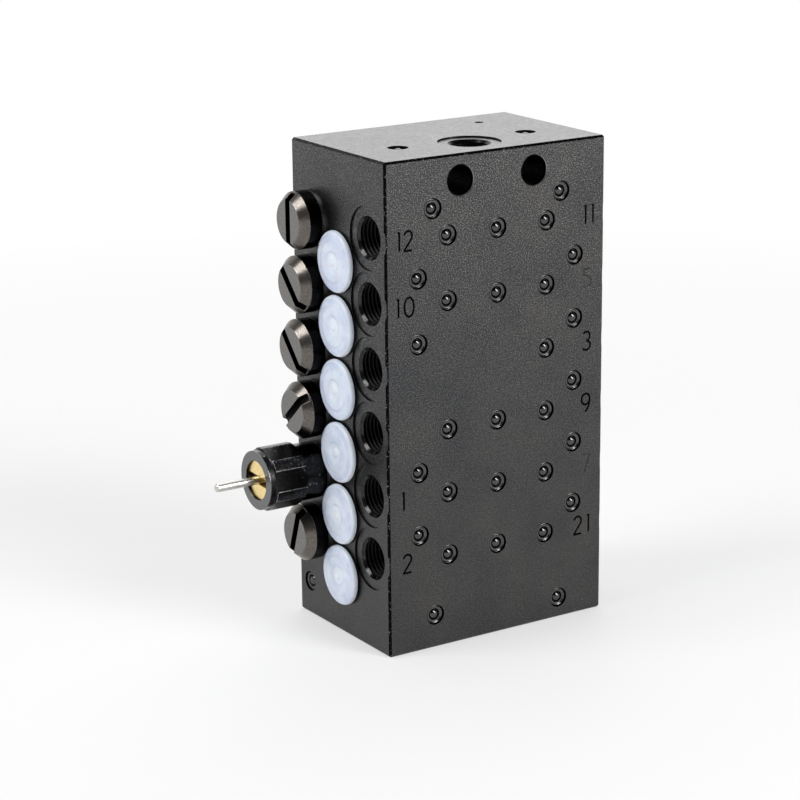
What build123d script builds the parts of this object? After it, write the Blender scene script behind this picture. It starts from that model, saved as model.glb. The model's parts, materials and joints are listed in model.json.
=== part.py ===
from build123d import *
import os

# A progressive lubricant divider made from one steel block. Six metering pistons lie
# crosswise in it, one above the other. Every piston bore is closed at both ends by a
# slotted plug on a washer, apart from one end where a pin shows the piston's strokes.
# Grease enters through the top port and leaves through the threaded ports of both
# sides. Round recesses on the front, the top and the left side are where small balls
# seal the cross drillings. The balls and the drillings behind them aren't modelled here:
# the inside is solid apart from the piston bores and the first stretch of drilling
# behind the inlet and behind each outlet.
# X is the width, Y the depth with the numbered front face at the low end, Z the height.
# The origin is the middle of the block's bottom face. All sizes are in millimetres.

# Block
block_width = 60.0
block_depth = 40.0
block_height = 115.0
edge_chamfer = 0.5

# Rows of pistons, the first one at the top
row_count = 6
row_pitch = 15.0
lowest_row_height = 22.0

# Columns on the side faces, measured back from the front face, and the height of each
# piston above its outlets
outlet_setback = 7.4
capped_setback = 20.0
piston_setback = 32.0
piston_rise = 0.3

# Outlet ports and the inlet port, with a fine metric thread left as a plain bore
thread_diameter = 10.0
port_depth = 7.5
outlet_spotface_diameter = 14.7
outlet_spotface_depth = 0.4
outlet_gallery_diameter = 4.0
outlet_gallery_depth = 12.0
inlet_setback = 11.3
inlet_spotface_diameter = 17.0
inlet_spotface_depth = 0.4
main_gallery_diameter = 5.0

# Piston bores
piston_diameter = 6.0
piston_clearance = 0.05
plug_hole_depth = 8.5

# Mounting holes through the block from the front
mounting_hole_spacing = 20.0
mounting_hole_diameter = 7.0
mounting_hole_drop = 6.0

# Recesses of the sealing balls
recess_diameter = 4.8
recess_depth = 1.0
row_recess_offset = 13.5
signal_recess_offset = 21.5
signal_recess_rise = 6.0
bare_row = 3
return_recess_offset = 17.5
return_recess_setback = 14.0
return_recess_drop = 11.6
low_left_recess_height = 8.0
low_right_recess_height = 5.0
link_recess_setback = 35.3
link_recess_height = 8.3

# Slotted closure plugs
washer_thickness = 0.7
washer_diameter = 13.0
plug_head_diameter = 13.5
plug_rim_height = 3.3
plug_cone_height = 2.0
plug_face_diameter = 10.0
plug_shank_depth = 7.5
thread_clearance = 0.05
slot_width = 2.0
slot_depth = 1.8
left_slot_angles = [90, -47, -48, 42, 0, 71]
right_slot_angles = [25, 110, -30, 68, -75, 8]

# Push-in caps
cap_diameter = 14.3
cap_rim_height = 1.3
cap_height = 2.2
cap_face_diameter = 12.5
cap_stem_clearance = 0.1
cap_stem_length = 6.0

# Metering pistons
piston_stroke = 7.0
piston_neck_diameter = 4.0
piston_neck_length = 5.5
piston_centre_land = 9.0

# Stroke indicator on the left end of the fifth row
indicator_row = 5
indicator_neck_height = 5.4
hex_height = 8.5
hex_across_flats = 14.0
hex_turned_diameter = 15.0
hex_turn = 38.5
hex_chamfer_height = 0.4
indicator_ring_diameter = 14.0
indicator_ring_height = 1.4
gland_chamber_diameter = 9.4
gland_recess = 0.6
gland_length = 5.0
gland_clearance = 0.1
gland_slot_width = 2.0
gland_slot_depth = 1.5
gland_slot_angle = -3
packing_thickness = 2.5
pin_diameter = 2.0
pin_clearance = 0.08
pin_reach = 10.6
pin_insertion = 5.0
pin_chamfer = 0.25

# Length by which the slot's cutter passes the plug's head
overcut = 1.0

# Places worked out from the sizes
front_y = -block_depth / 2
outlet_y = front_y + outlet_setback
capped_y = front_y + capped_setback
piston_y = front_y + piston_setback
inlet_y = front_y + inlet_setback
return_y = front_y + return_recess_setback
link_y = front_y + link_recess_setback
row_heights = [lowest_row_height + row_pitch * (row_count - row) for row in range(1, row_count + 1)]
capped_heights = [height - row_pitch / 2 for height in row_heights]
piston_heights = [height + piston_rise for height in row_heights]
signal_heights = [height + signal_recess_rise for height in row_heights[1:]]
chamber_length = block_width - 2 * plug_shank_depth
piston_length = chamber_length - piston_stroke
thread_radius = thread_diameter / 2
main_gallery_depth = block_height - lowest_row_height + main_gallery_diameter / 2
plug_top = washer_thickness + plug_rim_height + plug_cone_height
indicator_top = indicator_neck_height + washer_thickness + hex_height + indicator_ring_height

front_face = Plane(origin=(0, front_y, 0), x_dir=(1, 0, 0), z_dir=(0, -1, 0))
top_face = Plane.XY.offset(block_height)


def side_seat(side, y, height):
    """The plane of a side face at one port, side -1 for left and 1 for right, facing outwards."""
    return Plane(origin=(side * block_width / 2, y, height), x_dir=(0, side, 0), z_dir=(side, 0, 0))


def turning_plane(seat):
    """The plane of a turned profile: its x is the radius and its y the height above the seat."""
    return Plane(origin=seat.origin, x_dir=seat.x_dir, z_dir=-seat.y_dir)


def turning_axis(seat):
    return Axis(seat.origin, seat.z_dir)


# Places of the front face's ball recesses, as width and height
row_recess_spots = [
    (x, height)
    for row, height in enumerate(row_heights, 1)
    for x in (-row_recess_offset, 0, row_recess_offset)
    if row != bare_row or x > 0
]
signal_recess_spots = [
    (x, height)
    for row, height in enumerate(signal_heights, 2)
    for x in (-signal_recess_offset, signal_recess_offset)
    if row != bare_row + 1 or x > 0
]
corner_recess_spots = [
    (-return_recess_offset, block_height - return_recess_drop),
    (return_recess_offset, block_height - return_recess_drop),
    (-return_recess_offset, low_left_recess_height),
    (return_recess_offset, low_right_recess_height),
]

front_recess_spots = row_recess_spots + signal_recess_spots + corner_recess_spots
top_recess_spots = [(-return_recess_offset, return_y), (return_recess_offset, return_y)]

with BuildPart() as housing_block:
    with BuildSketch():
        Rectangle(block_width, block_depth)
    extrude(amount=block_height)
    chamfer(housing_block.edges(), edge_chamfer)

    # Ports, plug holes and piston bores of both side faces
    for side in (-1, 1):
        with Locations(*[side_seat(side, outlet_y, height) for height in row_heights]):
            CounterBoreHole(
                thread_radius, outlet_spotface_diameter / 2, outlet_spotface_depth, port_depth
            )
            Hole(outlet_gallery_diameter / 2, depth=outlet_gallery_depth)
        with Locations(*[side_seat(side, capped_y, height) for height in capped_heights]):
            Hole(thread_radius, depth=port_depth)
        with Locations(*[side_seat(side, piston_y, height) for height in piston_heights]):
            Hole(thread_radius, depth=plug_hole_depth)
    with Locations(*[side_seat(1, piston_y, height) for height in piston_heights]):
        Hole(piston_diameter / 2 + piston_clearance, depth=block_width)

    # Inlet with the main gallery
    with Locations(top_face):
        with Locations((0, inlet_y)):
            CounterBoreHole(
                thread_radius, inlet_spotface_diameter / 2, inlet_spotface_depth, port_depth
            )
            Hole(main_gallery_diameter / 2, depth=main_gallery_depth)
        with Locations(*top_recess_spots):
            Hole(recess_diameter / 2, depth=recess_depth)

    # Ball recesses and mounting holes of the front face, and the recess of the left face
    with Locations(front_face):
        with Locations(*front_recess_spots):
            Hole(recess_diameter / 2, depth=recess_depth)
        with Locations((0, block_height - mounting_hole_drop)):
            with GridLocations(mounting_hole_spacing, 0, 2, 1):
                Hole(mounting_hole_diameter / 2, depth=block_depth)
    with Locations(side_seat(-1, link_y, link_recess_height)):
        Hole(recess_diameter / 2, depth=recess_depth)


def closure_plug(side, height, slot_angle):
    """A turned plug with a coned head and a screwdriver slot, its shank closing a piston bore."""
    seat = side_seat(side, piston_y, height)
    with BuildPart() as plug:
        with BuildSketch(turning_plane(seat)):
            with BuildLine():
                Polyline(
                    (0, -plug_shank_depth),
                    (thread_radius - thread_clearance, -plug_shank_depth),
                    (thread_radius - thread_clearance, washer_thickness),
                    (plug_head_diameter / 2, washer_thickness),
                    (plug_head_diameter / 2, plug_top - plug_cone_height),
                    (plug_face_diameter / 2, plug_top),
                    (0, plug_top),
                    close=True,
                )
            make_face()
        revolve(axis=turning_axis(seat))
        with BuildSketch(seat.offset(plug_top)):
            Rectangle(plug_head_diameter + overcut, slot_width, rotation=slot_angle)
        extrude(amount=-slot_depth, mode=Mode.SUBTRACT)
    return plug.part


def port_cap(side, height):
    """A push-in plastic cap: a bevelled head on the block's face and a stem in the port."""
    seat = side_seat(side, capped_y, height)
    stem_radius = thread_radius - cap_stem_clearance
    with BuildPart() as cap:
        with BuildSketch(turning_plane(seat)):
            with BuildLine():
                Polyline(
                    (0, -cap_stem_length),
                    (stem_radius, -cap_stem_length),
                    (stem_radius, 0),
                    (cap_diameter / 2, 0),
                    (cap_diameter / 2, cap_rim_height),
                    (cap_face_diameter / 2, cap_height),
                    (0, cap_height),
                    close=True,
                )
            make_face()
        revolve(axis=turning_axis(seat))
    return cap.part


def metering_piston(height, start, pin_hole):
    """A spool with two necks between three lands; start is the place of its left end."""
    seat = Plane(origin=(start, piston_y, height), x_dir=(0, 1, 0), z_dir=(1, 0, 0))
    middle = piston_length / 2
    land_radius = piston_diameter / 2
    neck_radius = piston_neck_diameter / 2
    land_end = piston_centre_land / 2
    neck_end = land_end + piston_neck_length
    with BuildPart() as piston:
        with BuildSketch(turning_plane(seat)):
            with BuildLine():
                Polyline(
                    (0, 0),
                    (land_radius, 0),
                    (land_radius, middle - neck_end),
                    (neck_radius, middle - neck_end),
                    (neck_radius, middle - land_end),
                    (land_radius, middle - land_end),
                    (land_radius, middle + land_end),
                    (neck_radius, middle + land_end),
                    (neck_radius, middle + neck_end),
                    (land_radius, middle + neck_end),
                    (land_radius, piston_length),
                    (0, piston_length),
                    close=True,
                )
            make_face()
        revolve(axis=turning_axis(seat))
        if pin_hole:
            with BuildSketch(seat):
                Circle(pin_diameter / 2)
            extrude(amount=pin_insertion, mode=Mode.SUBTRACT)
    return piston.part


pieces = {"housing_block": housing_block.part}

# Pistons rest in turn at the left and at the right end of their stroke
left_start = -chamber_length / 2
for row, height in enumerate(piston_heights, 1):
    start = left_start if row % 2 else left_start + piston_stroke
    pieces[f"metering_piston_{row}"] = metering_piston(height, start, row == indicator_row)

for row, height in enumerate(piston_heights, 1):
    if row != indicator_row:
        pieces[f"closure_plug_left_{row}"] = closure_plug(-1, height, left_slot_angles[row - 1])
    pieces[f"closure_plug_right_{row}"] = closure_plug(1, height, right_slot_angles[row - 1])

for row, height in enumerate(capped_heights, 1):
    pieces[f"port_cap_left_{row}"] = port_cap(-1, height)
    pieces[f"port_cap_right_{row}"] = port_cap(1, height)

with BuildPart() as plug_sealing_washers:
    for side in (-1, 1):
        for height in piston_heights:
            with BuildSketch(side_seat(side, piston_y, height)):
                Circle(washer_diameter / 2)
                Circle(thread_radius, mode=Mode.SUBTRACT)
            extrude(amount=washer_thickness)
pieces["plug_sealing_washers"] = plug_sealing_washers.part

# Stroke indicator: a hexagon body, a packing ring, a slotted brass gland and the pin
indicator_seat = side_seat(-1, piston_y, piston_heights[indicator_row - 1])
neck_top = washer_thickness + indicator_neck_height
gland_top = indicator_top - gland_recess
gland_bottom = gland_top - gland_length
pin_bore_radius = pin_diameter / 2 + pin_clearance

hex_top = neck_top + hex_height
hex_turned_radius = hex_turned_diameter / 2
hex_inner_radius = hex_across_flats / 2

with BuildPart() as indicator_body:
    # Hexagon bar, its corners turned down and bevelled at both ends
    with BuildSketch(indicator_seat.offset(neck_top)):
        RegularPolygon(hex_inner_radius, 6, major_radius=False, rotation=hex_turn)
        Circle(gland_chamber_diameter / 2, mode=Mode.SUBTRACT)
    extrude(amount=hex_height)
    with BuildSketch(turning_plane(indicator_seat)):
        with BuildLine():
            Polyline(
                (0, neck_top),
                (hex_inner_radius, neck_top),
                (hex_turned_radius, neck_top + hex_chamfer_height),
                (hex_turned_radius, hex_top - hex_chamfer_height),
                (hex_inner_radius, hex_top),
                (0, hex_top),
                close=True,
            )
        make_face()
    revolve(axis=turning_axis(indicator_seat), mode=Mode.INTERSECT)

    # Shank, neck and end ring, bored for the pin and the gland
    with BuildSketch(turning_plane(indicator_seat)):
        with BuildLine():
            Polyline(
                (pin_bore_radius, -plug_shank_depth),
                (thread_radius - thread_clearance, -plug_shank_depth),
                (thread_radius - thread_clearance, washer_thickness),
                (plug_head_diameter / 2, washer_thickness),
                (plug_head_diameter / 2, neck_top),
                (indicator_ring_diameter / 2, neck_top),
                (indicator_ring_diameter / 2, indicator_top),
                (gland_chamber_diameter / 2, indicator_top),
                (gland_chamber_diameter / 2, gland_bottom - packing_thickness),
                (pin_bore_radius, gland_bottom - packing_thickness),
                close=True,
            )
        make_face()
    revolve(axis=turning_axis(indicator_seat))
pieces["indicator_body"] = indicator_body.part

with BuildPart() as indicator_packing:
    with BuildSketch(indicator_seat.offset(gland_bottom - packing_thickness)):
        Circle(gland_chamber_diameter / 2)
        Circle(pin_bore_radius, mode=Mode.SUBTRACT)
    extrude(amount=packing_thickness)
pieces["indicator_packing"] = indicator_packing.part

with BuildPart() as indicator_gland:
    with BuildSketch(indicator_seat.offset(gland_bottom)):
        Circle(gland_chamber_diameter / 2 - gland_clearance)
        Circle(pin_bore_radius, mode=Mode.SUBTRACT)
    extrude(amount=gland_length)
    with BuildSketch(indicator_seat.offset(gland_top)):
        Rectangle(gland_chamber_diameter, gland_slot_width, rotation=gland_slot_angle)
    extrude(amount=-gland_slot_depth, mode=Mode.SUBTRACT)
pieces["indicator_gland"] = indicator_gland.part

with BuildPart() as indicator_pin:
    with BuildSketch(indicator_seat.offset(-plug_shank_depth - pin_insertion)):
        Circle(pin_diameter / 2)
    extrude(amount=pin_insertion + plug_shank_depth + indicator_top + pin_reach)
    chamfer(indicator_pin.faces().sort_by(Axis.X)[0].edges(), pin_chamfer)
pieces["indicator_pin"] = indicator_pin.part

os.makedirs("parts", exist_ok=True)
for name, piece in pieces.items():
    piece.label = name
    export_step(piece, f"parts/{name}.step")
    print(name, len(piece.solids()), "solids,", round(piece.volume, 1), "cubic mm")
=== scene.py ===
import json
import math

import bmesh
import bpy
import numpy as np
from mathutils import Matrix, Vector


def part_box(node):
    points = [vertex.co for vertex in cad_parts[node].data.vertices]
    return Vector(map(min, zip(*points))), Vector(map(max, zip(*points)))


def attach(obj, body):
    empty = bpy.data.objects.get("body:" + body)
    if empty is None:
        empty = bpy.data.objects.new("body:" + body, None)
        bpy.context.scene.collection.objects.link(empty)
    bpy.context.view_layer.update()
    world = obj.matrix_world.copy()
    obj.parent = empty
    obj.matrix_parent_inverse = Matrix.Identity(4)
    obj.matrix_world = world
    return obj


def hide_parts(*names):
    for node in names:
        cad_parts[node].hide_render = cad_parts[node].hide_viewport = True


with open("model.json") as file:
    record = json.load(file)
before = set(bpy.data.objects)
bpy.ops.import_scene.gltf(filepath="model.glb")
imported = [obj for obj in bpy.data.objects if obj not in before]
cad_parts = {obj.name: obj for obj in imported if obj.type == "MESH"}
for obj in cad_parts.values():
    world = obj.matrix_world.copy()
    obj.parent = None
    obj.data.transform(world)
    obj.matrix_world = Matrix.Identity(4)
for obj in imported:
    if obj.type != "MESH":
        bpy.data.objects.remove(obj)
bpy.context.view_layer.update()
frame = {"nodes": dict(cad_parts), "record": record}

# Sizes are in millimetres and become metres where a mesh is made
MM = 0.001
MERGE = 1e-4
ROUND_STEPS = 64


def box_of(node):
    """The low and the high corner of a CAD node's box."""
    return [np.array(corner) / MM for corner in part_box(node)]


def middle_of(node):
    """The middle of a CAD node's box."""
    low, high = box_of(node)
    return (low + high) / 2


# Block and rows, as in the construction
BLOCK_LOW, BLOCK_HIGH = box_of("housing_block")
BLOCK_WIDTH, BLOCK_DEPTH, BLOCK_HEIGHT = BLOCK_HIGH - BLOCK_LOW
FRONT_Y = -BLOCK_DEPTH / 2
CHAMFER = 0.5
SPOTFACE_DEPTH = 0.4
MOUNTS = {mount["name"]: mount for mount in frame["record"]["mounts"]}
ROW_HEIGHTS = [MOUNTS[f"outlet_left_{row}"]["pos_m"][2] / MM for row in range(1, 7)]
ROW_PITCH = ROW_HEIGHTS[0] - ROW_HEIGHTS[1]
BARE_ROW = 3

# Faces that carry details: the way out of each and the way up on it
FRONT = ((0, -1, 0), (0, 0, 1))
TOP = ((0, 0, 1), (0, 1, 0))
LEFT = ((-1, 0, 0), (0, 0, 1))

# How far linings and rings reach into the walls that carry them
WALL_SINK = 0.03

# Threads of the ports. A ridge's foot and crest are half widths in pitches, the depth of the
# foot in the wall is a share of the ridge's height, and the run-out is in turns
THREAD_RADIUS = 5.0
THREAD_PITCH = 1.0
THREAD_HEIGHT = 0.56
THREAD_LENGTH = 6.9
THREAD_FOOT = 0.43
THREAD_CREST = 0.07
THREAD_FOOT_SINK = 0.03
THREAD_RUN_OUT = 0.5
LEAD_IN = 0.65
LEAD_IN_BACK = 0.35

# Sealing balls and their dished recesses
BALL_RADIUS = 1.5
BALL_SINK = 0.15
RECESS_RADIUS = 2.4
RECESS_DEPTH = 1.0
ROW_RECESS_OFFSET = 13.5
SIGNAL_RECESS_OFFSET = 21.5
SIGNAL_RECESS_RISE = 6.0
RETURN_RECESS_OFFSET = 17.5
RETURN_RECESS_SETBACK = 14.0
RETURN_RECESS_HEIGHTS = (103.4, 103.4, 8.0, 5.0)
LINK_RECESS_SETBACK = 35.3
LINK_RECESS_HEIGHT = 8.3

# Sections of what lies in a recess, as (radius, height) points below the face. The collar has
# an upright outer wall, a rounded rim, a slope down to a nearly level floor and an upright
# inner wall. The gap lies outside it and the socket inside it; their linings are black sheets
# of painted shade
COLLAR_SECTION = [
    (2.13, -RECESS_DEPTH),
    (2.13, -0.5),
    (2.11, -0.45),
    (2.06, -0.43),
    (2.02, -0.45),
    (1.98, -0.48),
    (1.81, -0.62),
    (1.77, -0.65),
    (1.7, -0.66),
    (1.48, -0.64),
    (1.41, -0.63),
    (1.38, -0.66),
    (1.38, -RECESS_DEPTH),
]
GAP_SECTION = [
    (RECESS_RADIUS + WALL_SINK, -0.03),
    (RECESS_RADIUS - WALL_SINK, -0.06),
    (RECESS_RADIUS - WALL_SINK, -0.9),
    (2.08, -0.9),
    (2.08, -RECESS_DEPTH),
    (RECESS_RADIUS + WALL_SINK, -RECESS_DEPTH),
]
SOCKET_SECTION = [(1.43, -0.62), (1.35, -0.64), (1.1, -RECESS_DEPTH), (1.43, -RECESS_DEPTH)]

# Mounting holes and the break of their front edges
HOLE_RADIUS = MOUNTS["mounting_holes"]["dims"]["hole_r_mm"]
HOLE_SPACING = MOUNTS["mounting_holes"]["dims"]["spacing_x_mm"]
HOLE_HEIGHT = MOUNTS["mounting_holes"]["pos_m"][2] / MM
HOLE_BREAK = 0.22

# Inlet's machined ring, as constructed and as the photograph shows it, and a pit behind it
BUILT_RING_RADIUS = 8.5
INLET_RING_RADIUS = 7.35
PIT_PLACE = (16.1, 10.9)
PIT_RADIUS = 1.05
PIT_DEPTH = 0.3

# White caps: the head's height falls off as a superellipse of these powers, and each step of
# its relief has a rise towards the middle, a radius and a softness
CAP_RADIUS = 7.15
CAP_CROWN = 1.62
CAP_RIM = 0.5
CAP_POWERS = (16, 2.2)
CAP_STEPS = [(0.24, 4.8, 0.3), (-0.4, 2.4, 0.3), (0.3, 0.9, 0.2)]
CAP_STEM_RADIUS = 4.9
CAP_STEM_LENGTH = 6.0

# Bevels of the turned and milled parts' edges, and the angles in degrees at which faces count
# as one face, an edge gets a bevel, and shading breaks
EDGE_BEVEL = 0.1
PIN_BEVEL = 0.25
FLAT_ANGLE = 1
BEVEL_ANGLE = 22
SHARP_ANGLE = 35

# Hexagon's turned corners
HEX_CORNER_RADIUS = 7.5

# Slotted plugs: where the cone starts and how it falls
PLUG_FACE_RADIUS = 5.0
PLUG_RADIUS = 6.75
PLUG_TOP = 6.0
PLUG_CONE_DROP = 2.0

# Engraved outlet numbers: each digit, its row, its place across and its groove's depth. The
# groove's section is in half widths across and depths up
DIGIT_HEIGHT = 4.4
GROOVE_WIDTH = 0.52
GROOVE_SECTION = [(-1.3, 0.55), (-0.45, -1), (0.45, -1), (1.3, 0.55)]
GROOVE_SPACING = 0.12
GROOVE_LEAST_POINTS = 8
DEEP = 0.32
FAINT = 0.1
DIGITS = [
    ("1", 1, -26.3, DEEP),
    ("2", 1, -24.0, DEEP),
    ("1", 2, -26.7, DEEP),
    ("0", 2, -23.9, DEEP),
    ("1", 5, -25.8, DEEP),
    ("2", 6, -25.0, DEEP),
    ("1", 1, 24.6, DEEP),
    ("1", 1, 26.7, DEEP),
    ("5", 2, 25.1, FAINT),
    ("3", 3, 25.1, DEEP),
    ("9", 4, 25.1, DEEP),
    ("7", 5, 25.2, FAINT),
    ("2", 6, 23.1, DEEP),
    ("1", 6, 26.3, DEEP),
]

# Photograph's camera: turned and raised about a point on the block's axis
CAMERA_AZIMUTH = -32.56
CAMERA_ELEVATION = 15.93
CAMERA_ROLL = -0.62
CAMERA_DISTANCE = 595.0
CAMERA_AIM = (0, 0, 57)
CAMERA_SLIDE = (-11.58, -4.78)
CAMERA_LENS = 113.7
CAMERA_SENSOR = 36
CAMERA_CLIP = 10

# The floor's half width in metres, as the lamps' sizes and distances are
FLOOR_REACH = 6.0


# Surfaces


def grid_quads(rows, columns, loop_rows=False):
    """The quads between neighbouring lines of a grid of points. The last column joins the
    first, and so does the last row if the rows loop."""
    last = rows if loop_rows else rows - 1
    row, column = np.meshgrid(np.arange(last), np.arange(columns), indexing="ij")
    next_row = (row + 1) % rows
    next_column = (column + 1) % columns
    corners = [(row, column), (row, next_column), (next_row, next_column), (next_row, column)]
    return np.stack([r * columns + c for r, c in corners], -1).reshape(-1, 4)


def lathe(profile, ring=False, steps=ROUND_STEPS):
    """A profile turned about the seat's outward axis: its point (r, h) goes to
    (r cos a, r sin a, h) for even steps of the angle a. A ring's profile is closed."""
    angle = np.linspace(0, 2 * np.pi, steps, endpoint=False)
    radius, height = np.array(profile, float).T
    points = np.stack(
        [
            np.outer(radius, np.cos(angle)),
            np.outer(radius, np.sin(angle)),
            np.outer(height, np.ones(steps)),
        ],
        -1,
    )
    return points.reshape(-1, 3), grid_quads(len(radius), steps, loop_rows=ring)


def thread_ridge():
    """A screw thread standing inwards from the wall of a bore. Its trapezoid section is carried
    along a helix that sinks by one pitch a turn, and the section grows out of the wall over
    the first half turn and back into it over the last."""
    turns = (THREAD_LENGTH - LEAD_IN) / THREAD_PITCH - 1
    turn = np.linspace(0, turns, int(turns * ROUND_STEPS) + 1)[:, None]
    growth = np.clip(np.minimum(turn, turns - turn) / THREAD_RUN_OUT, 0, 1)
    along = np.array([-THREAD_FOOT, -THREAD_CREST, THREAD_CREST, THREAD_FOOT])
    along = along * THREAD_PITCH * growth
    inwards = np.array([-THREAD_FOOT_SINK, 1, 1, -THREAD_FOOT_SINK]) * THREAD_HEIGHT * growth
    radius = THREAD_RADIUS - inwards
    depth = LEAD_IN + THREAD_PITCH * (turn + 0.5) + along
    angle = 2 * np.pi * turn
    points = np.stack([radius * np.cos(angle), radius * np.sin(angle), -depth], -1)
    return points.reshape(-1, 3), grid_quads(len(turn), 4)


def lead_in_ring():
    """The countersink at a thread's mouth: a cone from the bore's wall at the face down to the
    thread's inner radius, then back to the wall."""
    inner = THREAD_RADIUS - THREAD_HEIGHT
    wall = THREAD_RADIUS + WALL_SINK
    return lathe([(wall, 0), (inner, -LEAD_IN), (wall, -LEAD_IN - LEAD_IN_BACK)], ring=True)


def hole_break():
    """A cutter for the bevel round a mounting hole's edge: a cone of 45 degrees that crosses
    the face one break outside the hole and reaches the wall one break below the face."""
    wide = HOLE_RADIUS + 2 * HOLE_BREAK
    narrow = HOLE_RADIUS - HOLE_BREAK
    top, bottom = HOLE_BREAK, -2 * HOLE_BREAK
    return lathe([(0, top), (wide, top), (narrow, bottom), (0, bottom)])


def pit_cutter():
    """A cutter for the shallow pit on the top face: an upright cylinder, half of it above the
    face and half below."""
    top, bottom = PIT_DEPTH, -PIT_DEPTH
    return lathe([(0, top), (PIT_RADIUS, top), (PIT_RADIUS, bottom), (0, bottom)])


def ball():
    """A sphere whose top lies just below the face. Its profile is a half circle in even turns,
    from the bottom to the top."""
    turn = np.linspace(-np.pi / 2, np.pi / 2, 17)
    centre = -BALL_RADIUS - BALL_SINK
    radius = BALL_RADIUS * np.cos(turn)
    return lathe(np.stack([radius, centre + BALL_RADIUS * np.sin(turn)], -1), steps=32)


def step(radius, edge, width):
    """1 inside an edge and 0 outside it, joined by the soft slope of a hyperbolic tangent."""
    return 0.5 + 0.5 * np.tanh((edge - radius) / width)


def cap_form(outer):
    """A moulded cap: a stem, an underside that rises to the rim, and a head whose height falls
    off as a superellipse of the radius. A raised ring lies round a sunk middle with a nub."""
    radius = outer * np.sin(np.linspace(0, np.pi / 2, 64))
    fall = (1 - (radius / outer) ** CAP_POWERS[0]) ** (1 / CAP_POWERS[1])
    head = CAP_RIM + (CAP_CROWN - CAP_RIM) * fall
    for rise, edge, width in CAP_STEPS:
        head = head + rise * step(radius, edge, width)
    under = [
        (outer - 0.15, CAP_RIM - 0.15),
        (outer - 0.6, 0.12),
        (outer - 1.0, 0),
        (CAP_STEM_RADIUS, 0),
        (CAP_STEM_RADIUS, -CAP_STEM_LENGTH),
        (0, -CAP_STEM_LENGTH),
    ]
    return lathe(np.concatenate([np.stack([radius, head], -1), under]))


def arc(middle, radii, start, end, steps=16):
    """Points of an ellipse about a middle point, from one angle to another in degrees."""
    angle = np.radians(np.linspace(start, end, steps))
    x = middle[0] + radii[0] * np.cos(angle)
    y = middle[1] + radii[1] * np.sin(angle)
    return np.stack([x, y], -1)


def digit_lines(digit):
    """The pen lines of a digit one unit high and centred on its width."""
    if digit == "0":
        return [arc((0, 0.5), (0.28, 0.5), 90, 450, steps=33)]
    if digit == "1":
        return [[(-0.1, 0.92), (0.0, 1), (0.0, 0)]]
    if digit == "2":
        bowl = arc((0, 0.74), (0.24, 0.26), 170, -38)
        return [np.concatenate([bowl, [(-0.25, 0), (0.26, 0)]])]
    if digit == "3":
        upper = arc((0, 0.75), (0.24, 0.25), 150, -90)
        return [np.concatenate([upper, arc((0, 0.25), (0.27, 0.25), 90, -150)])]
    if digit == "5":
        bowl = arc((0, 0.31), (0.28, 0.31), 130, -145)
        return [np.concatenate([[(0.24, 1), (-0.2, 1)], bowl])]
    if digit == "7":
        return [[(-0.27, 1), (0.27, 1), (-0.06, 0)]]
    loop = arc((0, 0.7), (0.27, 0.3), 0, 360, steps=25)
    return [loop, arc((-0.13, 0.7), (0.4, 0.7), 0, -80)]


def groove(line, depth):
    """A cutter for one engraved line. Its trapezoid section is carried along the line, evenly
    spaced, and narrows at the line's ends as a half circle does; a closed line has no ends."""
    line = np.array(line, float)
    run = np.concatenate([[0], np.cumsum(np.linalg.norm(np.diff(line, axis=0), axis=1))])
    count = max(GROOVE_LEAST_POINTS, int(run[-1] / GROOVE_SPACING))
    place = np.linspace(0, run[-1], count)
    line = np.stack([np.interp(place, run, axis) for axis in line.T], -1)
    closed = np.allclose(line[0], line[-1])
    if closed:
        line, place = line[:-1], place[:-1]
        ahead = np.roll(line, -1, 0) - np.roll(line, 1, 0)
    else:
        ahead = np.gradient(line, axis=0)
    ahead /= np.linalg.norm(ahead, axis=1)[:, None]
    aside = np.stack([-ahead[:, 1], ahead[:, 0]], -1)
    half = GROOVE_WIDTH / 2
    to_end = np.minimum(place, run[-1] - place) / half
    narrow = np.ones(len(place)) if closed else np.sqrt(1 - np.clip(1 - to_end, 0, 1) ** 2)
    across, rise = np.array(GROOVE_SECTION).T
    flat = line[:, None] + aside[:, None] * (half * across * narrow[:, None])[..., None]
    height = np.broadcast_to((rise * depth)[:, None], (len(line), len(rise), 1))
    points = np.concatenate([flat, height], -1)
    return points.reshape(-1, 3), grid_quads(len(line), len(rise), loop_rows=closed)


def digit_grooves(digit, row, across, depth):
    """The grooves of a digit that stands at its row's height."""
    foot = np.array([across, ROW_HEIGHTS[row - 1] - DIGIT_HEIGHT / 2])
    return [groove(np.array(line) * DIGIT_HEIGHT + foot, depth) for line in digit_lines(digit)]


def seat(origin, out, up):
    """A place on a face: its origin, and the rows across, up and out of its axes."""
    across = np.cross(up, out)
    return np.array(origin, float), np.array([across, up, out], float)


def copies(shape, seats):
    """One shape on every seat: its points turned to the seat's axes and moved to its origin."""
    points, faces = shape
    placed = [origin + points @ axes for origin, axes in seats]
    counted = [faces + len(points) * i for i in range(len(seats))]
    return np.concatenate(placed), np.concatenate(counted)


def closed_mesh(name, shapes):
    """A mesh of one or more shapes. Points that meet are merged, so poles and seams are closed,
    and the faces are turned outwards."""
    start = np.cumsum([0] + [len(points) for points, _ in shapes])
    points = np.concatenate([points for points, _ in shapes]) * MM
    faces = np.concatenate([faces + first for (_, faces), first in zip(shapes, start)])
    mesh = bpy.data.meshes.new(name)
    mesh.from_pydata(points.tolist(), [], faces.tolist())
    work = bmesh.new()
    work.from_mesh(mesh)
    bmesh.ops.remove_doubles(work, verts=work.verts, dist=MERGE * MM)
    bmesh.ops.recalc_face_normals(work, faces=work.faces)
    work.to_mesh(mesh)
    work.free()
    return mesh


def new_object(name, data):
    """An object at the scene's origin."""
    made = bpy.data.objects.new(name, data)
    bpy.context.scene.collection.objects.link(made)
    return made


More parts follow.
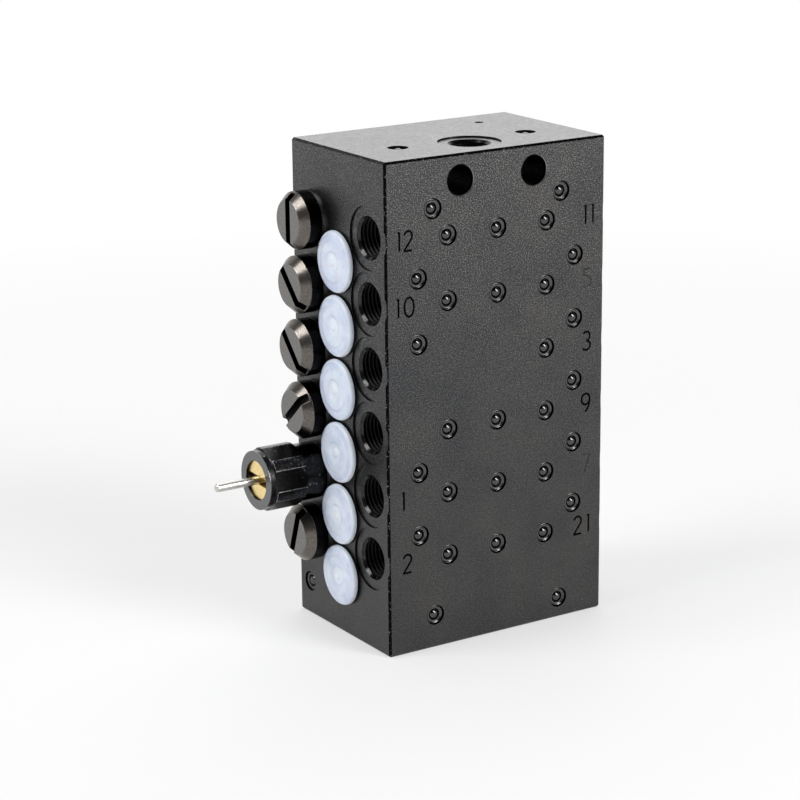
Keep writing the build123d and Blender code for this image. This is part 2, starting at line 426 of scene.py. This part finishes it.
def finish_piece(name, mesh, material, body):
    """A piece of the object that rides a body, smooth apart from its corners."""
    mesh.shade_smooth()
    mesh.set_sharp_from_angle(angle=math.radians(SHARP_ANGLE))
    mesh.materials.clear()
    mesh.materials.append(material)
    made = new_object(name, mesh)
    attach(made, body)
    return made


def piece(name, shapes, material, body="housing"):
    """A piece of the object from its shapes."""
    return finish_piece(name, closed_mesh(name, shapes), material, body)


# Materials


class Nodes:
    """A node tree. The methods add nodes, wire them and give back their output."""

    def __init__(self, tree):
        self.tree = tree

    def add(self, kind, output, inputs=(), **settings):
        """A node with its settings made and its inputs wired or set, in order."""
        node = self.tree.nodes.new(kind)
        for key, value in settings.items():
            setattr(node, key, value)
        for socket, value in dict(inputs).items():
            if isinstance(value, bpy.types.NodeSocket):
                self.tree.links.new(value, node.inputs[socket])
            else:
                node.inputs[socket].default_value = value
        return node.outputs[output]

    def math(self, operation, *values, clamp=False):
        """A sum, a product or another operation on one to three values."""
        return self.add(
            "ShaderNodeMath", 0, enumerate(values), operation=operation, use_clamp=clamp
        )

    def ramp(self, value, *stops):
        """A colour or grey read off a ramp of (place, colour) stops."""
        node = self.tree.nodes.new("ShaderNodeValToRGB")
        self.tree.links.new(value, node.inputs[0])
        elements = node.color_ramp.elements
        while len(elements) < len(stops):
            elements.new(1.0)
        for element, (place, colour) in zip(elements, stops):
            element.position = place
            element.color = (*colour, 1) if isinstance(colour, tuple) else (colour,) * 3 + (1,)
        return node.outputs[0]

    def blend(self, share, first, second, blend_type="MIX"):
        """The first colour, going over to the second, or to their product if they multiply,
        as share goes from 0 to 1."""
        sides = {
            socket: (*value, 1) if isinstance(value, tuple) else value
            for socket, value in {0: share, 6: first, 7: second}.items()
        }
        return self.add("ShaderNodeMix", 2, sides, data_type="RGBA", blend_type=blend_type)

    def span(self, value, low, high, at_low, at_high):
        """A value from low to high mapped evenly to at_low to at_high, and held beyond."""
        ends = {"From Min": low, "From Max": high, "To Min": at_low, "To Max": at_high}
        return self.add("ShaderNodeMapRange", 0, {"Value": value, **ends})


class Finish(Nodes):
    """A node material for one finish. Values that are the same all over are set on the
    shader."""

    def __init__(self, name, **values):
        self.material = bpy.data.materials.new(name)
        self.material.use_nodes = True
        super().__init__(self.material.node_tree)
        self.shader = self.tree.nodes["Principled BSDF"]
        for socket, value in values.items():
            self.shader.inputs[socket.replace("_", " ")].default_value = value
        self.place = self.add("ShaderNodeTexCoord", "Object")

    def axes(self):
        """The three coordinates of a point in millimetres."""
        scaled = self.add(
            "ShaderNodeVectorMath", 0, {0: self.place, "Scale": 1 / MM}, operation="SCALE"
        )
        node = self.tree.nodes.new("ShaderNodeSeparateXYZ")
        self.tree.links.new(scaled, node.inputs[0])
        return list(node.outputs)

    def noise(self, size, detail=2.0, rough=0.5, stretch=(1, 1, 1)):
        """Noise whose blobs are about size millimetres wide, from 0 to 1."""
        scale = [1 / (size * MM * share) for share in stretch]
        across = self.add("ShaderNodeMapping", 0, {"Vector": self.place, "Scale": scale})
        values = {"Vector": across, "Scale": 1.0, "Detail": detail, "Roughness": rough}
        return self.add("ShaderNodeTexNoise", 0, values)

    def between(self, value, low, high):
        """1 where value lies well between low and high, with short soft ends."""
        rise = self.math("SUBTRACT", value, low)
        fall = self.math("SUBTRACT", high, value)
        return self.math("MULTIPLY", self.math("MINIMUM", rise, fall), 12, clamp=True)

    def hypotenuse(self, across, rise):
        """The square root of the sum of two squares."""
        squares = [self.math("MULTIPLY", side, side) for side in (across, rise)]
        return self.math("SQRT", self.math("ADD", *squares))

    def from_row_axis(self, node):
        """Millimetres from the axis of the nearest piece in a node's column, whose rows are one
        pitch apart, taken from the height's remainder."""
        _, y, z = self.axes()
        _, middle_y, middle_z = middle_of(node)
        lifted = self.math("SUBTRACT", z, middle_z - ROW_PITCH / 2)
        rise = self.math("SUBTRACT", self.math("MODULO", lifted, ROW_PITCH), ROW_PITCH / 2)
        return self.hypotenuse(self.math("SUBTRACT", y, middle_y), rise)

    def drive(self, socket, value):
        """Wires a value to the shader."""
        self.tree.links.new(value, self.shader.inputs[socket])

    def bump(self, height, distance):
        """Fine relief of that height in millimetres."""
        values = {"Height": height, "Distance": distance * MM, "Strength": 1.0}
        self.drive("Normal", self.add("ShaderNodeBump", 0, values))


def mottled(name, roughness, size, low, high, detail=2.0, metallic=1.0):
    """A finish whose colour wanders between two stops of a ramp, in blobs about size
    millimetres wide."""
    finish = Finish(name, Metallic=metallic, Roughness=roughness)
    finish.drive("Base Color", finish.ramp(finish.noise(size, detail=detail), low, high))
    return finish


def second_least(finish, first, second, third):
    """The middle one of three values."""
    low = finish.math("MINIMUM", first, second)
    high = finish.math("MAXIMUM", first, second)
    return finish.math("MAXIMUM", low, finish.math("MINIMUM", high, third))


def block_insets(finish, x, y, z):
    """How far a point lies inside the block's sides, its front or back, and its ends."""
    half_height = BLOCK_HEIGHT / 2
    from_sides = finish.math("SUBTRACT", BLOCK_WIDTH / 2, finish.math("ABSOLUTE", x))
    from_front = finish.math("SUBTRACT", BLOCK_DEPTH / 2, finish.math("ABSOLUTE", y))
    level = finish.math("ABSOLUTE", finish.math("SUBTRACT", z, half_height))
    return from_sides, from_front, finish.math("SUBTRACT", half_height, level)


def chamfer_share(finish, insets):
    """1 on the block's chamfers, whose borders are a little ragged, else 0. There the colour is
    a painted dark reflection.
    """
    ragged = finish.math("MULTIPLY_ADD", finish.noise(0.5), 0.12, CHAMFER - 0.04)
    return finish.math("LESS_THAN", second_least(finish, *insets), ragged)


def painted_shade_share(finish, insets):
    """Up to 1 in grooves and on the walls of shallow recesses, which get painted shade there,
    and
    0 on the faces and on the spotfaces' floors."""
    least = finish.math("MINIMUM", finish.math("MINIMUM", *insets[:2]), insets[2])
    depth = finish.math("DIVIDE", finish.math("SUBTRACT", least, 0.03), 0.22, clamp=True)
    off_floor = finish.math("ABSOLUTE", finish.math("SUBTRACT", least, SPOTFACE_DEPTH))
    off_floor = finish.math("GREATER_THAN", off_floor, 0.02)
    shallow = finish.math("LESS_THAN", least, RECESS_DEPTH + 0.2)
    return finish.math("MULTIPLY", depth, finish.math("MULTIPLY", off_floor, shallow))


def hole_edge_share(finish, x, z, from_front):
    """1 on the broken edges of the mounting holes, else 0."""
    reach = HOLE_RADIUS + 0.8
    beside = finish.math("LESS_THAN", finish.math("ABSOLUTE", x), HOLE_SPACING / 2 + reach)
    above = finish.math("GREATER_THAN", z, HOLE_HEIGHT - reach)
    broken = finish.between(from_front, 0.03, HOLE_BREAK + 0.05)
    return finish.math("MULTIPLY", finish.math("MULTIPLY", beside, above), broken)


def speckled_colour(finish, z, at_end):
    """A fine lighter speckle, which is bolder towards the top and mottled on the ends, under
    faint broad clouds."""
    grain = finish.noise(0.27, detail=3.0, rough=0.65)
    fine = finish.ramp(grain, (0.35, 0.042), (0.55, 0.066), (0.7, 0.15))
    bold = finish.ramp(grain, (0.38, 0.03), (0.53, 0.058), (0.65, 0.27))
    upper = finish.math("MULTIPLY_ADD", z, 1.1 / BLOCK_HEIGHT, -0.25, clamp=True)
    mottle = finish.ramp(finish.noise(1.1, detail=3.0), (0.35, 0.6), (0.65, 1.4))
    steel = finish.blend(at_end, finish.blend(upper, fine, bold), mottle, "MULTIPLY")
    clouds = finish.ramp(finish.noise(14), (0.3, (0.86, 0.87, 0.9)), (0.7, (1.1, 1.08, 1.05)))
    return finish.blend(1.0, steel, clouds, "MULTIPLY")


def blackened_steel():
    """Blackened steel. The chamfers are blacker, as a painted dark reflection, with worn flecks;
    grooves and the walls of shallow recesses are black as painted shade; and the mounting
    holes' broken edges are lighter."""
    finish = Finish("blackened_steel", Metallic=1.0, Roughness=0.35)
    x, y, z = finish.axes()
    insets = block_insets(finish, x, y, z)
    _, from_front, from_ends = insets
    at_end = finish.math("LESS_THAN", from_ends, SPOTFACE_DEPTH + 0.2)
    # Painted dark reflection: the chamfers are near black, with light flecks of wear
    dark_reflection_and_flecks = finish.ramp(finish.noise(0.5, detail=3.0), (0.61, 0.004), (0.68, 0.4))
    edged = finish.blend(
        chamfer_share(finish, insets), speckled_colour(finish, z, at_end), dark_reflection_and_flecks
    )
    # Painted shade: grooves and the walls of shallow recesses go near black
    shaded = finish.blend(painted_shade_share(finish, insets), edged, (0.004, 0.004, 0.004))
    hole_edge = finish.math(
        "MULTIPLY",
        hole_edge_share(finish, x, z, from_front),
        finish.math("SUBTRACT", 1.0, at_end),
    )
    finish.drive("Base Color", finish.blend(hole_edge, shaded, (0.25, 0.25, 0.25)))
    finish.bump(finish.noise(0.35, detail=3.0), 0.012)
    return finish.material


def bare_collar():
    """Smooth rolled steel round the balls, as dark as the block."""
    return mottled("bare_collar", 0.24, 0.4, (0.3, 0.07), (0.7, 0.11)).material


def painted_shade_gap():
    """Near-black painted shade on the linings of the gaps and sockets round the balls."""
    return mottled("painted_shade_gap", 0.6, 0.4, (0.3, 0.003), (0.7, 0.01)).material


def shaded_thread_steel():
    """Blackened steel inside the ports, darker than the block as painted shade."""
    return mottled("shaded_thread_steel", 0.35, 0.4, (0.3, 0.015), (0.7, 0.035)).material


def lead_in_steel():
    """Blackened steel at the ports' mouths, polished by fittings."""
    return mottled("lead_in_steel", 0.18, 0.5, (0.4, 0.025), (0.7, 0.05)).material


def turned_plug():
    """A turned plug head: bare grey steel on its face, browner on its cone, and black below
    and in its slot."""
    finish = Finish("turned_plug", Metallic=1.0, Roughness=0.27)
    x = finish.axes()[0]
    radius = finish.from_row_axis("closure_plug_left_6")
    beyond = finish.math("SUBTRACT", finish.math("ABSOLUTE", x), BLOCK_WIDTH / 2)
    share = finish.math("SUBTRACT", radius, PLUG_FACE_RADIUS)
    share = finish.math("DIVIDE", share, PLUG_RADIUS - PLUG_FACE_RADIUS, clamp=True)
    surface = finish.math("MULTIPLY_ADD", share, -PLUG_CONE_DROP, PLUG_TOP)
    sunk = finish.math("SUBTRACT", surface, beyond)
    head = finish.math("LESS_THAN", sunk, 0.16)
    streaks = finish.noise(0.5, detail=3.0, stretch=(0.4, 1, 1))
    grey = finish.ramp(streaks, (0.3, (0.15, 0.145, 0.14)), (0.7, (0.22, 0.21, 0.2)))
    brown = finish.ramp(streaks, (0.3, (0.1, 0.088, 0.078)), (0.7, (0.18, 0.165, 0.15)))
    on_cone = finish.math("MULTIPLY", share, 8, clamp=True)
    bare = finish.blend(on_cone, grey, brown)
    finish.drive("Base Color", finish.blend(head, (0.006, 0.006, 0.006), bare))
    finish.bump(finish.noise(0.2, detail=2.0, stretch=(0.4, 1, 1)), 0.004)
    return finish.material


def milky_plastic():
    """Soft milky plastic, slightly blue, with faint swirls; its middle and rim are whitened as
    painted highlights.
    """
    finish = Finish(
        "milky_plastic", Roughness=0.26, Subsurface_Weight=0.12, Subsurface_Scale=0.001
    )
    swirl = finish.noise(3.0, detail=2.0)
    milk = finish.ramp(swirl, (0.35, (0.55, 0.61, 0.79)), (0.6, (0.66, 0.73, 0.87)))
    radius = finish.from_row_axis("port_cap_left_6")
    share = finish.math("DIVIDE", radius, CAP_RADIUS)
    # Painted highlights: whiter towards the middle and at the rim
    white = finish.ramp(share, (0.12, 0.75), (0.35, 0.3), (0.62, 0.25), (0.88, 0.0), (0.96, 0.6))
    finish.drive("Base Color", finish.blend(white, milk, (0.84, 0.9, 0.95)))
    finish.bump(finish.noise(1.6, detail=1.0), 0.04)
    return finish.material


def dull_washer():
    """Dull light steel of the thin washers."""
    return mottled("dull_washer", 0.34, 0.4, (0.3, 0.25), (0.7, 0.42)).material


def black_hexagon():
    """Glossy black steel, worn bright along its edges and scuffed on its turned corners; its
    end ring is turned bare."""
    finish = Finish("black_hexagon", Metallic=1.0, Roughness=0.28)
    x, y, z = finish.axes()
    _, middle_y, middle_z = middle_of("indicator_pin")
    across = finish.math("SUBTRACT", y, middle_y)
    radius = finish.hypotenuse(across, finish.math("SUBTRACT", z, middle_z))
    ring_face = box_of("indicator_body")[0][0] + 0.12
    bare = finish.math("LESS_THAN", x, ring_face)
    scuffs = finish.ramp(finish.noise(0.7, detail=2.0), (0.5, 0.018), (0.7, 0.04), (0.76, 0.4))
    worn = finish.ramp(finish.noise(0.6, detail=3.0), (0.4, 0.014), (0.62, 0.035), (0.72, 0.3))
    corner = HEX_CORNER_RADIUS - 0.02
    rubbed = finish.math("GREATER_THAN", radius, corner)
    edges = finish.between(radius, HEX_CORNER_RADIUS - 0.13, corner)
    streaked = finish.ramp(finish.noise(0.7, detail=2.0), (0.35, 0.12), (0.6, 0.9))
    finish.drive("Roughness", finish.math("MULTIPLY_ADD", edges, 0.35, 0.25))
    black = finish.blend(edges, finish.blend(rubbed, scuffs, worn), streaked)
    finish.drive("Base Color", finish.blend(bare, black, (0.16, 0.16, 0.165)))
    finish.bump(finish.noise(0.8, detail=2.0), 0.004)
    return finish.material


def bright_brass():
    """Bright brass with fine turning marks."""
    yellow = (0.3, (0.86, 0.64, 0.27)), (0.7, (0.95, 0.77, 0.4))
    finish = mottled("bright_brass", 0.32, 0.6, *yellow)
    finish.bump(finish.noise(0.15, stretch=(1, 1, 8)), 0.003)
    return finish.material


def bright_steel():
    """Ground steel with faint broad marks."""
    grey = (0.3, (0.58, 0.56, 0.53)), (0.7, (0.66, 0.64, 0.61))
    return mottled("bright_steel", 0.3, 2.5, *grey, detail=1.0).material


def dark_reflection_ball():
    """Polished steel of the balls, darkened in colour as a painted dark reflection."""
    return mottled("dark_reflection_ball", 0.08, 0.6, (0.3, 0.075), (0.7, 0.09)).material


def packing_rubber():
    """Dull black rubber."""
    return mottled("packing_rubber", 0.7, 0.6, (0.3, 0.01), (0.7, 0.03), metallic=0.0).material


STEEL = blackened_steel()
NODE_FINISHES = {
    "blackened_block": STEEL,
    "turned_plug": turned_plug(),
    "white_cap": milky_plastic(),
    "dark_washer": dull_washer(),
    "black_hexagon": black_hexagon(),
    "brass": bright_brass(),
    "packing_rubber": packing_rubber(),
    "bright_pin": bright_steel(),
}
NODE_FINISHES["ground_piston"] = NODE_FINISHES["bright_pin"]
SLOTS = {part["node"]: part["material_slot"] for part in frame["record"]["subparts"]}


def dress_nodes():
    """Gives every CAD node the finish of its slot in the record."""
    for node, slot in SLOTS.items():
        mesh = frame["nodes"][node].data
        mesh.materials.clear()
        mesh.materials.append(NODE_FINISHES[slot])


# Pieces


def port_seats():
    """The seats of the threaded ports, from the record's mounts."""
    ups = {"inlet": (0, 1, 0)}
    return {
        name: seat(np.array(mount["pos_m"]) / MM, mount["axis"], ups.get(name, (0, 0, 1)))
        for name, mount in MOUNTS.items()
        if mount["kind"] == "threaded_hole"
    }


def recess_seats():
    """The seats of the recesses on the front, the top and the left side."""
    front = [
        (x, height)
        for row, height in enumerate(ROW_HEIGHTS, 1)
        for x in (-ROW_RECESS_OFFSET, 0, ROW_RECESS_OFFSET)
        if row != BARE_ROW or x > 0
    ]
    front += [
        (x, height + SIGNAL_RECESS_RISE)
        for row, height in enumerate(ROW_HEIGHTS, 1)
        for x in (-SIGNAL_RECESS_OFFSET, SIGNAL_RECESS_OFFSET)
        if row > 1 and (row != BARE_ROW + 1 or x > 0)
    ]
    sides = (-RETURN_RECESS_OFFSET, RETURN_RECESS_OFFSET)
    front += zip(sides * 2, RETURN_RECESS_HEIGHTS)
    top_y = FRONT_Y + RETURN_RECESS_SETBACK
    link_y = FRONT_Y + LINK_RECESS_SETBACK
    seats = [seat((x, FRONT_Y, z), *FRONT) for x, z in front]
    seats += [seat((x, top_y, BLOCK_HEIGHT), *TOP) for x in sides]
    seats += [seat((-BLOCK_WIDTH / 2, link_y, LINK_RECESS_HEIGHT), *LEFT)]
    return seats


def merged_copy(node):
    """A working copy of a CAD node's mesh whose loose triangles are joined."""
    work = bmesh.new()
    work.from_mesh(frame["nodes"][node].data)
    bmesh.ops.remove_doubles(work, verts=work.verts, dist=MERGE * MM)
    return work


def plain_mesh(work, name):
    """A mesh of the working copy, without the normals that came with the node."""
    mesh = bpy.data.meshes.new(name)
    work.to_mesh(mesh)
    work.free()
    mesh.attributes.remove(mesh.attributes["custom_normal"])
    return mesh


def narrow_inlet_ring(mesh):
    """Draws the rim of the inlet's machined ring in to the radius that the photograph shows."""
    points = np.empty(len(mesh.vertices) * 3, np.float32)
    mesh.vertices.foreach_get("co", points)
    points = points.reshape(-1, 3)
    middle = np.array(MOUNTS["inlet"]["pos_m"][:2])
    away = points[:, :2] - middle
    radius = np.linalg.norm(away, axis=1) / MM
    high = points[:, 2] / MM > BLOCK_HEIGHT - SPOTFACE_DEPTH - 0.2
    rim = high & (abs(radius - BUILT_RING_RADIUS) < 0.1)
    points[rim, :2] = middle + away[rim] * (INLET_RING_RADIUS / radius[rim])[:, None]
    mesh.vertices.foreach_set("co", points.ravel())


def carved(block, cutter):
    """The block's mesh less the cutter's shapes."""
    blank = new_object("blank", block)
    tool = new_object("cutter", cutter)
    cut = blank.modifiers.new("grooves", "BOOLEAN")
    cut.object = tool
    cut.operation = "DIFFERENCE"
    cut.solver = "EXACT"
    cut.use_self = True
    bpy.context.view_layer.update()
    evaluated = blank.evaluated_get(bpy.context.evaluated_depsgraph_get())
    mesh = bpy.data.meshes.new_from_object(evaluated)
    for helper in (blank, tool):
        bpy.data.objects.remove(helper)
    return mesh


def make_block():
    """The block with its numbers cut into the front face, the mounting holes' edges broken and
    the pit in its top. The cutters are taken out of a merged copy of the construction's mesh."""
    grooves = [shape for digit in DIGITS for shape in digit_grooves(*digit)]
    face = seat((0, FRONT_Y, 0), *FRONT)
    holes = [seat((side * HOLE_SPACING / 2, FRONT_Y, HOLE_HEIGHT), *FRONT) for side in (-1, 1)]
    pit = seat((*PIT_PLACE, BLOCK_HEIGHT), *TOP)
    shapes = [copies(line, [face]) for line in grooves]
    shapes += [copies(hole_break(), holes), copies(pit_cutter(), [pit])]
    block = plain_mesh(merged_copy("housing_block"), "merged_block")
    narrow_inlet_ring(block)
    mesh = carved(block, closed_mesh("cutter", shapes))
    block = finish_piece("numbered_block", mesh, STEEL, "housing")
    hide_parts("housing_block")


def make_threads():
    """The thread ridges and countersinks of the inlet and of each side's outlets."""
    ports = port_seats()
    threads = shaded_thread_steel()
    mouths = lead_in_steel()
    for side in ("inlet", "outlet_left", "outlet_right"):
        seats = [place for name, place in ports.items() if name.startswith(side)]
        ridges = piece(f"{side}_threads", [copies(thread_ridge(), seats)], threads)
        lead_ins = piece(f"{side}_lead_ins", [copies(lead_in_ring(), seats)], mouths)


def make_balls():
    """The balls in their recesses, with collars on all but the top's, and black linings of
    painted shade in the gaps and sockets.
    """
    seats = recess_seats()
    sections = (GAP_SECTION, SOCKET_SECTION)
    linings = [copies(lathe(section, ring=True), seats) for section in sections]
    piece("recess_shade_linings", linings, painted_shade_gap())
    collared = [place for place in seats if place[0][2] < BLOCK_HEIGHT]
    collar = lathe(COLLAR_SECTION, ring=True)
    collars = piece("ball_collars", [copies(collar, collared)], bare_collar())
    piece("sealing_balls", [copies(ball(), seats)], dark_reflection_ball())


def make_caps():
    """Moulded caps in place of the plain ones."""
    for node in SLOTS:
        if not node.startswith("port_cap"):
            continue
        low, high = box_of(node)
        middle = (low + high) / 2
        out = np.sign(middle[0])
        place = seat((out * BLOCK_WIDTH / 2, middle[1], middle[2]), (out, 0, 0), (0, 0, 1))
        form = cap_form((high[1] - low[1]) / 2)
        name = node.replace("port", "moulded")
        cap = piece(name, [copies(form, [place])], NODE_FINISHES["white_cap"])
        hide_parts(node)


def make_softened(start):
    """Copies of the CAD nodes whose names start so, with a small bevel along their sharp
    edges, which catches the light as a real machined edge does."""
    for node, slot in SLOTS.items():
        if not node.startswith(start):
            continue
        work = merged_copy(node)
        flat = math.radians(FLAT_ANGLE)
        bmesh.ops.dissolve_limit(work, angle_limit=flat, verts=work.verts, edges=work.edges)
        sharp = [
            edge
            for edge in work.edges
            if edge.is_manifold and edge.calc_face_angle() > math.radians(BEVEL_ANGLE)
        ]
        bmesh.ops.bevel(
            work,
            geom=sharp,
            offset=EDGE_BEVEL * MM,
            offset_type="OFFSET",
            segments=2,
            profile=0.5,
            affect="EDGES",
            clamp_overlap=True,
        )
        mesh = plain_mesh(work, f"softened_{node}")
        softened = finish_piece(f"softened_{node}", mesh, NODE_FINISHES[slot], "housing")
        level = softened.modifiers.new("level_faces", "WEIGHTED_NORMAL")
        level.keep_sharp = True
        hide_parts(node)


def make_pin():
    """The indicator pin as a turned rod with a bevelled tip."""
    low, high = box_of("indicator_pin")
    middle = (low + high) / 2
    radius = (high[1] - low[1]) / 2
    length = high[0] - low[0]
    bevelled = [(0, 0), (radius - PIN_BEVEL, 0), (radius, -PIN_BEVEL)]
    rod = lathe([*bevelled, (radius, -length), (0, -length)])
    tip = seat((low[0], middle[1], middle[2]), *LEFT)
    pin = piece("ground_pin", [copies(rod, [tip])], NODE_FINISHES["bright_pin"], "piston_5")
    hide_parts("indicator_pin")


# Studio


def direction(azimuth, elevation):
    """The way to a point of the studio. Azimuth 0 lies before the front face and 90 on its
    right."""
    turn, rise = math.radians(azimuth), math.radians(elevation)
    return Vector(
        (math.sin(turn) * math.cos(rise), -math.cos(turn) * math.cos(rise), math.sin(rise))
    )


def make_camera():
    """Looks at the aim point from the photograph's side, then slides in its own plane."""
    turn, roll = math.radians(CAMERA_AZIMUTH), math.radians(CAMERA_ROLL)
    back = direction(CAMERA_AZIMUTH, CAMERA_ELEVATION)
    level = Vector((math.cos(turn), math.sin(turn), 0))
    above = back.cross(level)
    right = level * math.cos(roll) + above * math.sin(roll)
    up = above * math.cos(roll) - level * math.sin(roll)
    place = Vector(CAMERA_AIM) + back * CAMERA_DISTANCE
    place += right * CAMERA_SLIDE[0] + up * CAMERA_SLIDE[1]
    data = bpy.data.cameras.new("camera")
    data.sensor_width = CAMERA_SENSOR
    data.lens = CAMERA_LENS
    data.clip_start = CAMERA_CLIP * MM
    camera = new_object("camera", data)
    facing = Matrix((right, up, back)).transposed().to_4x4()
    camera.matrix_world = Matrix.Translation(place * MM) @ facing
    bpy.context.scene.camera = camera


def make_lamp(name, azimuth, elevation, distance, size, power, length=None, roll=0):
    """A soft lamp that faces the block's middle: a square, or a strip of that length rolled
    about its own axis."""
    towards = direction(azimuth, elevation)
    data = bpy.data.lights.new(name, "AREA")
    data.shape = "RECTANGLE"
    data.size = size
    data.size_y = length or size
    data.energy = power
    lamp = new_object(name, data)
    lamp.location = Vector((0, 0, BLOCK_HEIGHT / 2 * MM)) + towards * distance
    facing = towards.to_track_quat("Z", "Y").to_matrix()
    lamp.rotation_euler = (facing @ Matrix.Rotation(math.radians(roll), 3, "Z")).to_euler()


def seen_share(nodes):
    """1 for rays from the camera, a mirror or through glass, else 0."""
    camera, glossy, transmission = (
        nodes.add("ShaderNodeLightPath", f"Is {kind} Ray")
        for kind in ("Camera", "Glossy", "Transmission")
    )
    return nodes.math("MAXIMUM", nodes.math("MAXIMUM", camera, glossy), transmission)


def make_world():
    """A white surround near the horizon, which darkens to a dim ceiling and, a little above
    the horizon, to a dim room before the block."""
    world = bpy.data.worlds.new("studio")
    world.use_nodes = True
    bpy.context.scene.world = world
    nodes = Nodes(world.node_tree)
    way = nodes.add("ShaderNodeTexCoord", "Generated")
    y, z = (nodes.add("ShaderNodeSeparateXYZ", axis, {0: way}) for axis in "YZ")
    ceiling = nodes.ramp(z, (0.28, 1.0), (0.6, 0.14))
    room = nodes.span(y, -0.5, 0.2, 0.15, 1.0)
    horizon = nodes.span(z, 0.08, 0.25, 1.0, 0.0)
    around = nodes.math("MAXIMUM", room, horizon)
    colour = nodes.blend(1.0, ceiling, around, "MULTIPLY")
    nodes.tree.links.new(colour, nodes.tree.nodes["Background"].inputs["Color"])


def make_floor():
    """A pale floor. Near the object a good half of what the camera sees of it is its own white
    and the rest its light and shadow. Far away it is all its own white."""
    floor = Finish("pale_floor", Base_Color=(0.83, 0.83, 0.83, 1), Roughness=0.9)
    floor.shader.inputs["Specular IOR Level"].default_value = 0.1
    distance = floor.add("ShaderNodeVectorMath", 1, {0: floor.place}, operation="LENGTH")
    far = floor.ramp(distance, (0.15, 0.5), (0.45, 1.0))
    white = floor.math("MULTIPLY", seen_share(floor), far)
    glow = floor.add("ShaderNodeEmission", 0)
    mixed = floor.add("ShaderNodeMixShader", 0, {0: white, 1: floor.shader.outputs[0], 2: glow})
    floor.tree.links.new(mixed, floor.tree.nodes["Material Output"].inputs["Surface"])
    mesh = bpy.data.meshes.new("floor")
    signs = ((-1, -1), (1, -1), (1, 1), (-1, 1))
    corners = [(x * FLOOR_REACH, y * FLOOR_REACH, 0) for x, y in signs]
    mesh.from_pydata(corners, [], [(0, 1, 2, 3)])
    mesh.materials.append(floor.material)
    new_object("floor", mesh)


dress_nodes()
make_block()
make_threads()
make_balls()
make_caps()
make_softened("closure_plug")
make_softened("indicator_body")
make_softened("indicator_gland")
make_pin()
make_camera()
make_floor()
make_world()
make_lamp("key", -100, 47, 0.8, 0.4, 3.4)
make_lamp("front_strip", 25, 26, 0.9, 0.3, 7.2, length=0.7, roll=32)
make_lamp("right_back", 125, 45, 0.9, 0.5, 0.9)
make_lamp("top_back", 165, 56, 0.8, 0.8, 1.7)
make_lamp("back", 148, 20, 1.0, 0.4, 0.6)
bpy.context.scene.view_settings.view_transform = "Standard"
